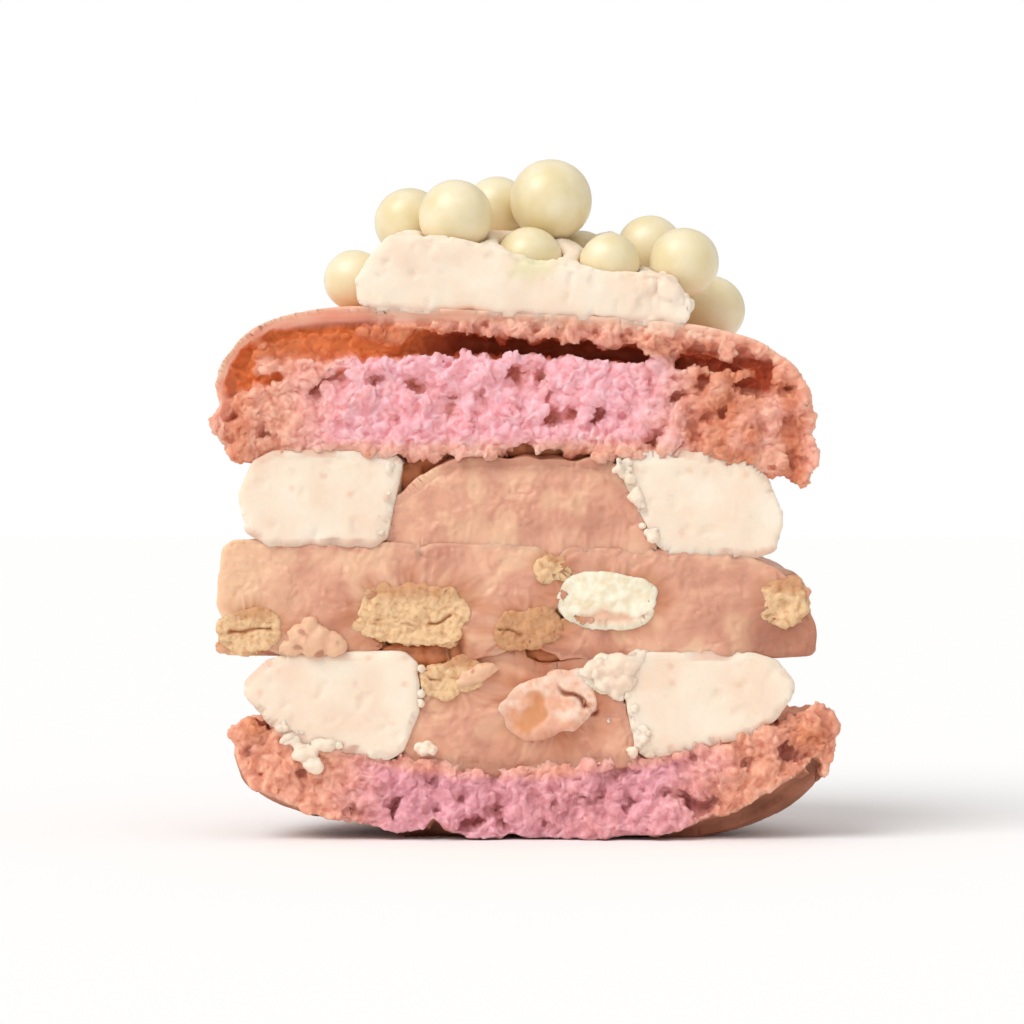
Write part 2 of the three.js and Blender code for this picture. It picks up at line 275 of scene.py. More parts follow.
# Baked almond meringue: a thin satin skin the oven has tanned, over a moist pink crumb full of bubbles.
# The oven's heat shows as tan towards the rim and as burnt orange where the crust lies over the hollow.
# The burnt orange also holds painted shade at the cut's right end; the hollow, pits and undersides get
# painted shade, and the hollow's left end painted light.
upperMeringueLook = {
    "pink": ("#efa4aa", "#ffc5cd"),
    "tan": ("#dd947a", "#f8bea6"),
    # bake: the oven's burnt orange, with painted shade mixed in at the cut's right end
    "bake": ("#bd5c34", "#d88559"),
    "skin": ("#efad92", "#f9c8b0"),
    # underside: painted shade on the down-facing skin near the foot
    "underside": ("#d2977c", "#e6b298"),
    # hollow: painted shade inside the hollow under the crust, turning to painted light towards its left end
    "hollow": ("#a84424", "#dd763e"),
    # pit: painted shade in the crumb's pits, darker the deeper they lie behind the cut
    "pit": "#c4674c",
}
# The lower shell has the same meringue darkened all over as painted shade, since that shell sits low, in
# shade.
shadedLowerMeringueLook = {
    "pink": ("#d08b93", "#f2b2bc"),
    "tan": ("#d98f73", "#f8b89c"),
    # bake: the oven's burnt orange, with painted shade mixed in at the cut's right end
    "bake": ("#b8643c", "#d4824e"),
    "skin": ("#dc9a7c", "#eeb698"),
    # underside: the browner baked bottom, darkened further as painted shade
    "underside": ("#83503a", "#a86e55"),
    # hollow: painted shade and painted light as above; this shell's hollow mask is 0
    "hollow": ("#a63a1a", "#e6834a"),
    # pit: painted shade in the crumb's pits
    "pit": "#963f34",
}


def makeMeringue(name, look):
    material, tree, where, mask = newMaterial(name, "crumb", "tan", "bake", "pit", "hollow", "lit", "under")
    grain = addNode(tree, "TexNoise", None, {"Vector": where, "Scale": perMm(0.6), "Detail": 4.0})
    clump = addNode(tree, "TexNoise", None, {"Vector": where, "Scale": perMm(1.8), "Detail": 3.0})
    broad = addNode(tree, "TexNoise", None, {"Vector": where, "Scale": perMm(5.0), "Detail": 3.0})
    mottle = addNode(tree, "Math", {"operation": "ADD"}, {0: grain, 1: clump})
    half = addNode(tree, "Math", {"operation": "MULTIPLY"}, {0: mottle, 1: 0.5})
    tones = {}
    for key, driver in (("pink", half), ("tan", half), ("bake", half), ("skin", broad), ("underside", broad)):
        low, high = look[key]
        tones[key] = addNode(tree, "ValToRGB", None, {"Fac": driver}, ((0.36, low), (0.6, high)))
    # the hollow's painted shade, with painted light where the lit mask marks its left end
    dark, lit = look["hollow"]
    tones["hollow"] = addNode(tree, "ValToRGB", None, {"Fac": mask["lit"]}, ((0, dark), (1, lit)))
    wandering = addNode(tree, "Math", {"operation": "MULTIPLY_ADD"}, {0: broad, 1: 0.9, 2: mask["tan"]})
    tanShare = addNode(tree, "Math", {"operation": "SUBTRACT", "use_clamp": True}, {0: wandering, 1: 0.45})
    crumb = tones["pink"]
    for share, tone in ((tanShare, tones["tan"]), (mask["bake"], tones["bake"]), (mask["pit"], look["pit"])):
        crumb = addNode(tree, "MixRGB", None, {"Fac": share, "Color1": crumb, "Color2": tone})
    # down-facing skin, where the under mask says, takes the underside tone as painted shade
    outside = addNode(tree, "MixRGB", None, {
        "Fac": mask["under"], "Color1": tones["skin"], "Color2": tones["underside"],
    })
    whole = addNode(tree, "MixRGB", None, {"Fac": mask["crumb"], "Color1": outside, "Color2": crumb})
    colour = addNode(tree, "MixRGB", None, {
        "Fac": mask["hollow"], "Color1": whole, "Color2": tones["hollow"],
    })
    bump = addNode(tree, "Bump", None, {"Height": grain, "Strength": 0.4, "Distance": 0.12 * mm})
    finish(tree, addNode(tree, "BsdfPrincipled", None, {
        "Base Color": colour, "Roughness": 0.66, "IOR": 1.45, "Specular IOR Level": 0.35, "Normal": bump,
        "Subsurface Weight": 0.55, "Subsurface Radius": (1.0, 0.55, 0.45), "Subsurface Scale": 1.3 * mm,
    }))
    return material


# Whipped buttercream: pale, matte and fat, with light soaking in and freckles of vanilla and caramel.
buttercreamLook = {
    "cream": ("#f5ddc6", "#fcead7"),
    "freckle": "#e6b490",
    "freckleGap": 2.3,
    "stain": "#e2b6a0",  # where it touches the pink crumb
    "film": "#e9dfb4",  # where a pearl shows through
}


def makeButtercream():
    material, tree, where, mask = newMaterial("whippedButtercream", "stain", "film")
    look = buttercreamLook
    broad = addNode(tree, "TexNoise", None, {"Vector": where, "Scale": perMm(4.0), "Detail": 3.0})
    fine = addNode(tree, "TexNoise", None, {"Vector": where, "Scale": perMm(0.7), "Detail": 3.0})
    spots = addNode(tree, "TexVoronoi", None, {"Vector": where, "Scale": perMm(look["freckleGap"])})
    rich, pale = look["cream"]
    colour = addNode(tree, "ValToRGB", None, {"Fac": broad}, ((0.35, rich), (0.65, pale)))
    uneven = addNode(tree, "Math", {"operation": "MULTIPLY_ADD"}, {0: fine, 1: 0.35, 2: spots})
    shares = {
        "freckle": addNode(tree, "MapRange", None, {0: uneven, 1: 0.2, 2: 0.36, 3: 0.4, 4: 0.0}),
        "stain": mask["stain"], "film": mask["film"],
    }
    for key, share in shares.items():
        colour = addNode(tree, "MixRGB", None, {"Fac": share, "Color1": colour, "Color2": look[key]})
    bump = addNode(tree, "Bump", None, {"Height": fine, "Strength": 0.45, "Distance": 0.14 * mm})
    finish(tree, addNode(tree, "BsdfPrincipled", None, {
        "Base Color": colour, "Roughness": 0.55, "IOR": 1.46, "Specular IOR Level": 0.35, "Normal": bump,
        "Subsurface Weight": 0.5, "Subsurface Radius": (1.0, 0.75, 0.55), "Subsurface Scale": 0.9 * mm,
    }))
    return material


# Caramel and white chocolate ganache: dense, waxy and a little translucent, in clouds of peach and rose.
ganacheLook = {
    "clouds": ("#cc9079", "#dfa58b", "#efbb9d"),
    "cloud": 3.6,
    # pale: pale patches at random, and painted light on the slab's left end
    "pale": "#f4cba6",
    # amber: syrup soaked into the ganache round the pieces, and the tone of the painted-shade blobs behind the
    # gaps
    "amber": "#c07446",  # biscuit syrup
    # dim: painted shade in the hole under the large biscuit, along the bottom seam, at the slab's right end,
    # on the upper core's top and round the lower core, and dark patches at random on the scraps
    "dim": "#a86a52",
}


def makeGanache():
    material, tree, where, mask = newMaterial("caramelGanache", "pale", "amber", "dim")
    look = ganacheLook
    broad = addNode(tree, "TexNoise", None, {
        "Vector": where, "Scale": perMm(look["cloud"]), "Detail": 4.0, "Distortion": 0.5,
    })
    fine = addNode(tree, "TexNoise", None, {"Vector": where, "Scale": perMm(0.6), "Detail": 3.0})
    rose, peach, light = look["clouds"]
    colour = addNode(tree, "ValToRGB", None, {"Fac": broad}, ((0.32, rose), (0.7, light), (0.5, peach)))
    for key in ("pale", "amber", "dim"):
        colour = addNode(tree, "MixRGB", None, {"Fac": mask[key], "Color1": colour, "Color2": look[key]})
    bump = addNode(tree, "Bump", None, {"Height": fine, "Strength": 0.35, "Distance": 0.1 * mm})
    finish(tree, addNode(tree, "BsdfPrincipled", None, {
        "Base Color": colour, "Roughness": 0.42, "IOR": 1.46, "Specular IOR Level": 0.4, "Normal": bump,
        "Subsurface Weight": 0.4, "Subsurface Radius": (1.0, 0.55, 0.4), "Subsurface Scale": 1.3 * mm,
    }))
    return material


def makeGrainy(name, look):
    # a solid that one fine noise mottles and roughens, with other tones where its masks say
    material, tree, where, mask = newMaterial(name, *look["layers"])
    size, detail = look["grain"]
    fine = addNode(tree, "TexNoise", None, {"Vector": where, "Scale": perMm(size), "Detail": detail})
    colour = addNode(tree, "ValToRGB", None, {"Fac": fine}, zip(look["mottle"], look["tones"]))
    for key, tone in look["layers"].items():
        colour = addNode(tree, "MixRGB", None, {"Fac": mask[key], "Color1": colour, "Color2": tone})
    strength, height = look["relief"]
    bump = addNode(tree, "Bump", None, {"Height": fine, "Strength": strength, "Distance": height * mm})
    weight, radius, scale = look["depth"]
    finish(tree, addNode(tree, "BsdfPrincipled", None, {
        "Base Color": colour, "Roughness": look["roughness"], "IOR": look["ior"],
        "Specular IOR Level": look["shine"], "Normal": bump,
        "Subsurface Weight": weight, "Subsurface Radius": radius, "Subsurface Scale": scale * mm,
    }))
    return material


# Butter biscuit: dry and sandy, golden on its grains and brown where the oven reached it.
biscuitLook = {
    "tones": ("#d5a377", "#eec89c"), "mottle": (0.3, 0.52), "grain": (0.5, 5.0),
    # crust: the oven's brown along the top, and painted shade in the cracks
    "layers": {"crust": "#bd754a"},
    "relief": (0.6, 0.15), "roughness": 0.85, "ior": 1.45, "shine": 0.25,
    "depth": (0.2, (1.0, 0.6, 0.35), 0.6),
}

# White chocolate: ivory and waxy where it snapped, with a dusty bloom and some ganache smeared over it.
whiteChocolateLook = {
    "tones": ("#efdcba", "#fbf3dc"), "mottle": (0.3, 0.6), "grain": (0.9, 4.0),
    "layers": {"smear": "#e9bb9f"},
    "relief": (0.4, 0.12), "roughness": 0.6, "ior": 1.45, "shine": 0.3,
    "depth": (0.35, (1.0, 0.8, 0.55), 0.9),
}

# Berry cream: pale pink fat folded round an orange jammy middle, with a crevice darkened as painted shade.
berryLook = {
    "tones": ("#eeb698", "#fad9c4"), "mottle": (0.35, 0.62), "grain": (0.9, 4.0),
    "layers": {"smear": "#dfa48b", "jam": "#d98f58", "crevice": "#a65a3c"},
    "relief": (0.4, 0.1), "roughness": 0.5, "ior": 1.46, "shine": 0.35,
    "depth": (0.4, (1.0, 0.55, 0.4), 1.0),
}

# Crisp chocolate pearls: polished white chocolate, so an even ivory with a soft broad highlight.
pearlLook = {"ivory": ("#e9d8aa", "#f3e6c4")}


def makePearl():
    material, tree, where, mask = newMaterial("glazedChocolatePearl")
    look = pearlLook
    broad = addNode(tree, "TexNoise", None, {"Vector": where, "Scale": perMm(2.5), "Detail": 3.0})
    fine = addNode(tree, "TexNoise", None, {"Vector": where, "Scale": perMm(0.4), "Detail": 2.0})
    yellow, pale = look["ivory"]
    colour = addNode(tree, "ValToRGB", None, {"Fac": broad}, ((0.35, yellow), (0.65, pale)))
    bump = addNode(tree, "Bump", None, {"Height": fine, "Strength": 0.12, "Distance": 0.05 * mm})
    finish(tree, addNode(tree, "BsdfPrincipled", None, {
        "Base Color": colour, "Roughness": 0.38, "IOR": 1.47, "Specular IOR Level": 0.45, "Normal": bump,
        "Subsurface Weight": 0.2, "Subsurface Radius": (1.0, 0.8, 0.5), "Subsurface Scale": 0.8 * mm,
        "Coat Weight": 0.5, "Coat Roughness": 0.3,
    }))
    return material


materials = {
    "upperShell": makeMeringue("bakedMeringueUpper", upperMeringueLook),
    "lowerShell": makeMeringue("bakedMeringueLower", shadedLowerMeringueLook),
    "buttercream": makeButtercream(),
    "ganache": makeGanache(),
    "biscuit": makeGrainy("butterBiscuit", biscuitLook),
    "whiteChocolate": makeGrainy("brokenWhiteChocolate", whiteChocolateLook),
    "berry": makeGrainy("foldedBerryCream", berryLook),
    "pearl": makePearl(),
}


def dress(piece, finishName):
    piece.data.materials.clear()
    piece.data.materials.append(materials[finishName])
    piece.data.shade_smooth()
    print(piece.name, len(piece.data.polygons), "faces")


print("materials made")

# Shells. The knife tore the crumb: its lumps stand out unevenly, with creases and bubbles between them.

crumbValues = {
    "bumps": ((1.6, 0.28), (0.8, 0.24), (0.4, 0.12)),  # size and height of the raggedness
    "bend": 0.5,
    "setBack": 1.05,
    "lump": (0.45, 1.25),  # the smallest and largest lump's radius
    "proud": 0.45,
}


def ragged(point):
    # the fine relief of broken crumb: bumps with creases between them, at three sizes
    bend = Vector((waves(point, 0.9, 61), waves(point, 0.9, 67), waves(point, 0.9, 71)))
    bent = point + bend * crumbValues["bend"]
    return sum(tall * (2.2 * abs(waves(bent, size, 3)) - 0.5) for size, tall in crumbValues["bumps"])


def crumbLumps(dice, count, xs, zs, room):
    # lumps at random over the cut; room(x, z) says how far the place is inside the crumb
    lumps = []
    for k in range(count):
        x = dice.uniform(*xs)
        z = dice.uniform(*zs)
        small, large = crumbValues["lump"]
        size = small + (large - small) * dice.random() ** 1.6
        if room(x, z) < size * 0.6:
            continue
        swing = 0.3 + 1.5 * waves(Vector((x, 0.0, z)), 2.6, 45)
        lumps.append((x, size - crumbValues["proud"] * swing + dice.uniform(0.0, 0.3), z, size))
    return lumps


def edgeLumps(dice, xs, step, level, spread, sizes, depths):
    # a row of lumps along an edge of the cut, whose height is level(x)
    lumps = []
    x = xs[0]
    while x < xs[1]:
        lumps.append((x, dice.uniform(*depths), level(x) + dice.uniform(*spread), dice.uniform(*sizes)))
        x += step * dice.uniform(0.6, 1.4)
    return lumps


def domeHeight(point, dome):
    # how high the point is in the dome: 0 at the foot's edge and 1 at the crown
    return (point.z - dome["foot"]) / (dome["crown"] - dome["foot"])


def domeRise(point, dome):
    # the same over the foot's top: 0 where the skin begins and 1 at the crown
    return (domeHeight(point, dome) - dome["footShare"]) / (1.0 - dome["footShare"])


def domeDepth(point, dome):
    # roughly how far inside the dome a point lies
    rise = domeRise(point, dome)
    share = math.hypot(point.x - dome["middle"], point.y) / dome["reach"]
    if rise <= 0.0:
        return (1.0 - share) * dome["reach"]
    slope = math.hypot(
        dome["squareness"] * share ** (dome["squareness"] - 1.0) / dome["reach"],
        2.0 * rise / (1.0 - dome["footShare"]) / abs(dome["crown"] - dome["foot"]),
    )
    return (1.0 - rise * rise - share ** dome["squareness"]) / max(slope, 0.02)


def snapToDome(point, normal, dome):
    # the shift along the normal that takes a point of a flat facet to the smooth dome it stands for
    rise = domeRise(point, dome)
    if rise < 0.03:
        return 0.0
    radius = max(math.hypot(point.x - dome["middle"], point.y), 0.01)
    share = radius / dome["reach"]
    miss = rise * rise + share ** dome["squareness"] - 1.0
    if abs(miss) > 0.22:
        return 0.0
    outwards = dome["squareness"] * share ** (dome["squareness"] - 1.0) / dome["reach"] / radius
    upwards = 2.0 * rise / ((1.0 - dome["footShare"]) * (dome["crown"] - dome["foot"]))
    steepness = (
        outwards * ((point.x - dome["middle"]) * normal.x + point.y * normal.y) + upwards * normal.z
    )
    if steepness < 0.03:
        return 0.0
    return max(-0.5, min(0.5, -miss / steepness)) * smoothstep(0.03, 0.12, rise)


upperShellValues = {
    "cells": (0.32, 0.3), "smoothing": 2, "seed": 5, "lumps": 820,
    "floor": 31.5, "droop": 2.2, "crown": 42.9, "lean": 0.05,  # it droops and leans to the right
    "footShare": 0.36, "squareness": 5.0, "reach": 24.62,  # the foot's share of the height, and the radius
    "hollowMiddle": -1.2, "hollowReach": 21.6, "hollowDrop": 2.7,  # x, half width, and depth under the crown
    "pinkFrom": -12.5, "pinkTo": 9.0,  # the oven tanned the crumb beyond these
    "arches": ((2.2, 4.4, 1.5), (-5.6, 0.9, 0.8)),  # x, half width and height of the gaps under the shell
}


def upperShellDome(point):
    values = upperShellValues
    return {
        "foot": values["floor"] - values["droop"] * smoothstep(15.0, 24.5, point.x),
        "crown": values["crown"] - values["lean"] * point.x,
        "footShare": values["footShare"], "middle": 0.0,
        "squareness": values["squareness"], "reach": values["reach"],
    }


def upperHollow(x, y, crown):
    # the middle and half height of the hollow under the crust, and how far out in it the point is, to 1
    values = upperShellValues
    middle = crown - values["hollowDrop"] - (0.0048 if x < 0 else 0.0035) * x * x
    deep = 3.4 + 5.1 * smoothstep(-15.0, 0.0, x)
    across = ((x - values["hollowMiddle"]) / values["hollowReach"]) ** 2 + (y / deep) ** 2
    half = 0.95 + 0.045 * max(0.0, -x)
    return middle, half, across


def upperShellBase(point, normal):
    # the crumb stands back for the lumps, the hollow is shallow on the left, and the floor has two gaps
    x, y, z = point
    dome = upperShellDome(point)
    middle, half, across = upperHollow(x, y, dome["crown"])
    inHollow = smoothstep(1.3, 1.12, across) * smoothstep(half + 0.8, half + 0.5, abs(z - middle))
    keep = 0.16 + 0.26 * smoothstep(-11.0, -4.0, x) - 0.2 * smoothstep(10.0, 15.0, x)
    inward = -(y - 0.6) * (1.0 - keep) * inHollow if y > 0.6 else 0.0
    edge = min(domeDepth(point, dome), z - dome["foot"] + 0.5)
    back = crumbValues["setBack"] * smoothstep(0.5, 1.2, edge) * facing(normal) * smoothstep(1.0, 0.3, y)
    arches = upperShellValues["arches"]
    up = sum(tall * smoothstep(wide + 0.6, wide - 0.6, abs(x - at)) for at, wide, tall in arches)
    up *= smoothstep(3.5, 0.0, z - dome["foot"]) * smoothstep(6.0, 3.0, y)
    return 0.0, (0.0, inward + back, up), {}


def upperShellLumps():
    dice = random.Random(upperShellValues["seed"])

    def room(x, z):
        dome = upperShellDome(Vector((x, 0.0, z)))
        middle, half, across = upperHollow(x, 0.0, dome["crown"])
        clear = abs(z - middle) - half if across < 1.05 else 9.0
        crust = 0.5 + 0.9 * smoothstep(-3.0, -9.0, x) * smoothstep(33.5, 36.0, z)
        return min(domeDepth(Vector((x, 0.0, z)), dome) - crust, z - dome["foot"] + 0.3, clear)

    def lip(side):
        def level(x):
            middle, half, across = upperHollow(x, 0.0, upperShellDome(Vector((x, 0.0, 0.0)))["crown"])
            return middle + side * half * math.sqrt(max(0.0, 1.0 - across))
        return level

    def floor(x):
        return upperShellDome(Vector((x, 0.0, 0.0)))["foot"] + sum(
            tall for at, wide, tall in upperShellValues["arches"] if abs(x - at) < wide
        )

    lumps = crumbLumps(dice, upperShellValues["lumps"], (-24.3, 24.3), (29.5, 42.5), room)
    rows = (  # x of the ends, step, level, and the ranges of height over it, radius and depth
        ((-21.0, 19.0), 0.42, lip(-1.0), (-0.45, 0.25), (0.26, 0.5), (0.1, 0.8)),  # under the hollow
        ((-21.0, 8.0), 0.6, lip(-1.0), (-0.6, 0.1), (0.35, 0.6), (0.9, 2.2)),
        ((-12.5, 12.8), 0.55, lip(1.0), (-0.2, 0.5), (0.26, 0.55), (0.2, 1.0)),  # hanging from the crust
        ((-12.5, 8.0), 0.9, lip(1.0), (-0.2, 0.5), (0.4, 0.75), (1.0, 2.4)),
        ((11.2, 13.2), 0.5, lip(0.0), (-0.5, 0.5), (0.4, 0.6), (0.5, 1.3)),  # a bridge across the hollow
        ((13.4, 17.5), 0.35, lip(0.0), (-0.9, 0.9), (0.5, 0.8), (2.4, 3.0)),  # the back of its right end
        ((-10.6, -8.2), 0.5, lip(0.6), (-0.4, 0.2), (0.45, 0.75), (0.6, 1.4)),
        ((-23.4, 24.0), 0.5, floor, (-0.5, 0.35), (0.34, 0.7), (0.35, 1.1)),
    )
    for row in rows:
        lumps += edgeLumps(dice, *row)
    return lumps


def onFoot(height, dome, radius, inner, outer):
    # 1 on the frilled foot round the shell's edge, 0 on the skin above it and on the shell's flat side
    skin = smoothstep(dome["footShare"] + 0.04, dome["footShare"] - 0.06, height)
    return skin * smoothstep(inner, outer, radius)


def tannedEnds(point, values, reach):
    # 1 at both ends of the cut, where the oven tanned the pink crumb
    wander = point.x + 1.5 * waves(point, 2.5, 8)
    leftEnd = smoothstep(values["pinkFrom"], values["pinkFrom"] - 7.0, wander)
    return max(leftEnd, smoothstep(values["pinkTo"], values["pinkTo"] + reach, wander))


def upperShellRule(point, normal):
    x, y, z = point
    dome = upperShellDome(point)
    middle, half, across = upperHollow(x, y, dome["crown"])
    inside = domeDepth(point, dome)
    front = smoothstep(3.0, 2.0, y)
    inHollow = smoothstep(1.3, 1.1, across) * smoothstep(half + 0.6, half + 0.1, abs(z - middle))
    inHollow *= smoothstep(0.4, 1.0, y)
    foot = onFoot(domeHeight(point, dome), dome, math.hypot(x, y), 20.0, 22.5)
    left = smoothstep(-1.0, -9.0, x)
    crustDeep = inside - 1.1 * left * smoothstep(33.5, 36.0, z)
    torn = max(front * smoothstep(0.15, 0.6, crustDeep), inHollow)
    below = smoothstep(-0.3, -0.7, normal.z) * smoothstep(2.0, 0.5, z - dome["foot"])
    outward = 0.0
    if torn > 0.01 or foot > 0.01 or below > 0.01:
        crumb = ragged(point)
        frill = 0.55 * (grains(point, 1.5, 29) - 0.5) + 0.4 * crumb
        outward = crumb * torn + frill * max(foot, 0.5 * below) * (1.0 - torn)
    skin = 0.12 * waves(point, 4.5, 2) + 0.03 * waves(point, 0.9, 5)
    outward += (skin + snapToDome(point, normal, dome)) * (1.0 - torn) * (1.0 - foot)
    # the oven baked the crust over the hollow, the hollow's left rim and both ends of the cut, and the
    # right end is darkened further as painted shade
    ends = tannedEnds(point, upperShellValues, 8.0)
    overHollow = smoothstep(-0.2, 0.5, z - middle) * smoothstep(1.25, 1.0, across)
    crust = overHollow * smoothstep(0.9, 2.2, inside) * (0.3 + 0.6 * left)
    rim = smoothstep(half + 0.9, half + 0.1, abs(z - middle)) * left * smoothstep(1.4, 1.1, across)
    rim *= 0.55 * smoothstep(-0.6, 0.4, z - middle)
    farLeft = 0.55 * smoothstep(-19.0, -22.5, x) * smoothstep(0.6, 1.3, inside) * smoothstep(4.0, 2.4, inside)
    # painted shade: the crumb at the right end of the cut is darkened as if in shade
    right = 0.7 * smoothstep(11.0, 17.0, x) * smoothstep(0.7, 1.6, inside)
    right *= smoothstep(-0.35, 0.25, waves(point, 2.2, 14))
    return outward, still, {
        "crumb": max(front * smoothstep(0.7, 1.6, inside), 0.75 * foot, 0.6 * below, inHollow),
        "tan": min(1.0, max(ends, 0.85 * overHollow, 0.9 * smoothstep(1.6, 0.2, z - dome["foot"]))),
        "bake": max(crust, rim, farLeft, right),
        # pit: painted shade, darker the deeper behind the cut face
        "pit": 0.85 * smoothstep(0.3, 1.4, y) * front * smoothstep(0.8, 1.4, inside) * (1.0 - inHollow),
        # painted shade in the hollow, and painted light towards its left end
        "hollow": inHollow, "lit": smoothstep(-4.0, -11.0, x),
        # under: down-facing skin near the foot, which gets painted shade
        "under": below,
    }


lowerShellValues = {
    "cells": (0.32, 0.3), "smoothing": 2, "seed": 9, "lumps": 640,
    "middle": 1.6, "reach": 24.62, "footShare": 0.25, "squareness": 2.8, "flatSpot": 0.7,
    "pinkFrom": -9.5, "pinkTo": 11.0,
    "hem": (  # the lower edge of the cut: x and its height over the floor
        (-22.0, 4.4), (-19.0, 3.0), (-16.6, 2.0), (-14.5, 1.55), (-11.5, 1.1), (-9.7, 0.5), (-7.6, 0.9),
        (-6.8, 1.9), (-6.0, 1.1), (-4.0, 0.15), (-1.2, 0.1), (-0.4, 0.6), (0.5, 0.1), (6.0, 0.1), (9.0, 0.35),
        (12.5, 0.5), (14.2, 1.3), (16.5, 1.9), (17.9, 2.3), (18.8, 2.8), (19.9, 3.5), (21.0, 4.1),
        (22.2, 4.8), (23.5, 6.0), (24.8, 7.5),
    ),
}


def lowerShellDome(point):
    # this dome hangs down from the brim of the dish, and the floor has pressed its crown flat
    values = lowerShellValues
    brim = 5.8 + 0.008 * ((point.x - values["middle"]) ** 2 + point.y ** 2) + 0.03 * point.x
    return {
        "foot": min(brim, 10.7), "crown": -values["flatSpot"], "footShare": values["footShare"],
        "middle": values["middle"], "squareness": values["squareness"], "reach": values["reach"],
    }


def hemLevel(x):
    hem = lowerShellValues["hem"]
    for (x0, z0), (x1, z1) in zip(hem, hem[1:]):
        if x0 <= x <= x1:
            return z0 + (z1 - z0) * (x - x0) / (x1 - x0)
    return 0.0


def lowerShellBase(point, normal):
    x, y, z = point
    dome = lowerShellDome(point)
    edge = min(domeDepth(point, dome), z + 0.3, dome["foot"] - z + 0.6)
    back = crumbValues["setBack"] * smoothstep(0.4, 1.1, edge) * facing(normal) * smoothstep(1.0, 0.3, y)
    surface = min(dome["foot"], max(0.0, z - max(0.0, domeDepth(point, dome))))
    reach = max(smoothstep(4.5, 1.0, y), smoothstep(-8.0, -10.5, x))
    lift = max(0.0, hemLevel(x) - surface) * smoothstep(3.2, 0.0, z - surface) * reach
    return 0.0, (0.0, back, lift), {}


def lowerShellLumps():
    dice = random.Random(lowerShellValues["seed"])

    def room(x, z):
        dome = lowerShellDome(Vector((x, 0.0, z)))
        return min(domeDepth(Vector((x, 0.0, z)), dome) - 0.1, z - hemLevel(x) + 0.1, dome["foot"] - z + 0.25)

    lumps = crumbLumps(dice, lowerShellValues["lumps"], (-22.8, 26.0), (0.0, 10.6), room)
    lumps += edgeLumps(
        dice, (-22.0, 25.0), 0.6, lambda x: lowerShellDome(Vector((x, 0.0, 0.0)))["foot"],
        (-0.4, 0.05), (0.3, 0.6), (0.4, 1.2),
    )
    return lumps


def lowerShellRule(point, normal):
    x, y, z = point
    dome = lowerShellDome(point)
    inside = min(domeDepth(point, dome), z - hemLevel(x) + 0.2)
    front = smoothstep(3.0, 2.0, y)
    foot = onFoot(domeHeight(point, dome), dome, math.hypot(x - dome["middle"], y), 21.5, 23.0)
    torn = front * smoothstep(0.05, 0.5, inside)
    outward = 0.0
    if torn > 0.01 or foot > 0.01 or normal.z > 0.5:
        crumb = ragged(point)
        frill = 0.55 * (grains(point, 1.5, 37) - 0.5) + 0.4 * crumb
        outward = crumb * torn + frill * foot * (1.0 - torn)
    skin = 0.12 * waves(point, 4.5, 2) + 0.03 * waves(point, 0.9, 5)
    if z > 0.05 and front < 0.99:
        outward += (skin + snapToDome(point, normal, dome)) * (1.0 - front) * (1.0 - foot)
    ends = tannedEnds(point, lowerShellValues, 7.0)
    # oven browning at both ends of the cut, with painted shade at the right end
    bake = 0.7 * max(bell(x, -21.3, 1.3) * bell(z, 9.3, 1.0), bell(x, 24.0, 2.2) * bell(z, 8.4, 1.4))
    return outward, still, {
        "crumb": max(front * smoothstep(0.0, 0.4, inside), 0.8 * foot, smoothstep(0.4, 0.8, normal.z)),
        "tan": min(1.0, max(ends, 0.7 * smoothstep(1.3, 0.2, dome["foot"] - z))),
        "bake": bake * front,
        # pit: painted shade, darker the deeper behind the cut face
        "pit": 0.85 * smoothstep(0.3, 1.4, y) * front * smoothstep(0.5, 1.2, inside),
        "hollow": 0.0, "lit": 0.0,
        # under: down-facing skin low on the dome, which gets painted shade, over a browner baked bottom
        "under": smoothstep(8.5, 5.0, z) * smoothstep(0.1, -0.2, normal.z),
    }


def nearCut(middle, normal):
    # the faces where the torn crumb needs the finest mesh
    return middle.y < 1.8 and normal.y < 0.0


for name, node, values, base, makeLumps, rule in (
    ("upperShell", "upper_shell", upperShellValues, upperShellBase, upperShellLumps, upperShellRule),
    ("lowerShell", "lower_shell", lowerShellValues, lowerShellBase, lowerShellLumps, lowerShellRule),
):
    shell = mergedCopy(name, node)
    refine(shell, values["cells"][0], values["smoothing"])
    sculpt(shell, base)
    addLumps(shell, makeLumps(), values["seed"])
    refine(shell, values["cells"][1], 2)
    splitFaces(shell, nearCut)
    sculpt(shell, rule)
    dress(shell, name)

# Buttercream rings. The knife dragged their inner edges into small crumbs.

ringValues = {
    "cell": 0.24, "smoothing": 2,
    "swell": 0.22, "press": 0.32,  # outwards all round, and more where it lies against its neighbours
    "wave": 0.09, "pits": 0.12, "dragged": 0.45,
}


def ringRule(point, normal):
    values = ringValues
    cut = facing(normal)
    swell = (values["swell"] + values["press"] * abs(normal.z)) * (1.0 - cut)
    wave = waves(point, 3.2, 13) + 0.4 * waves(point, 1.3, 17)
    pit = smoothstep(0.34, 0.6, waves(point, 1.1, 23))
    corner = cutCorner(point, normal)
    dragged = values["dragged"] * corner * waves(point, 0.9, 31)
    stain = 0.7 * smoothstep(0.25, 0.8, abs(normal.z)) * smoothstep(-0.2, 0.3, waves(point, 2.5, 3))
    return swell + values["wave"] * wave - values["pits"] * pit + dragged, still, {
        "stain": stain * smoothstep(4.0, 0.5, point.y), "film": 0.0,
    }


for name, node in (("upperRing", "upper_ring"), ("lowerRing", "lower_ring")):
    ring = mergedCopy(name, node)
    refine(ring, ringValues["cell"], ringValues["smoothing"])
    sculpt(ring, ringRule)
    dress(ring, "buttercream")

# Ganache slab and cores. Amber syrup has run out of the biscuit pieces into the ganache round them, and
# the knife has smeared ganache over the pieces' edges.

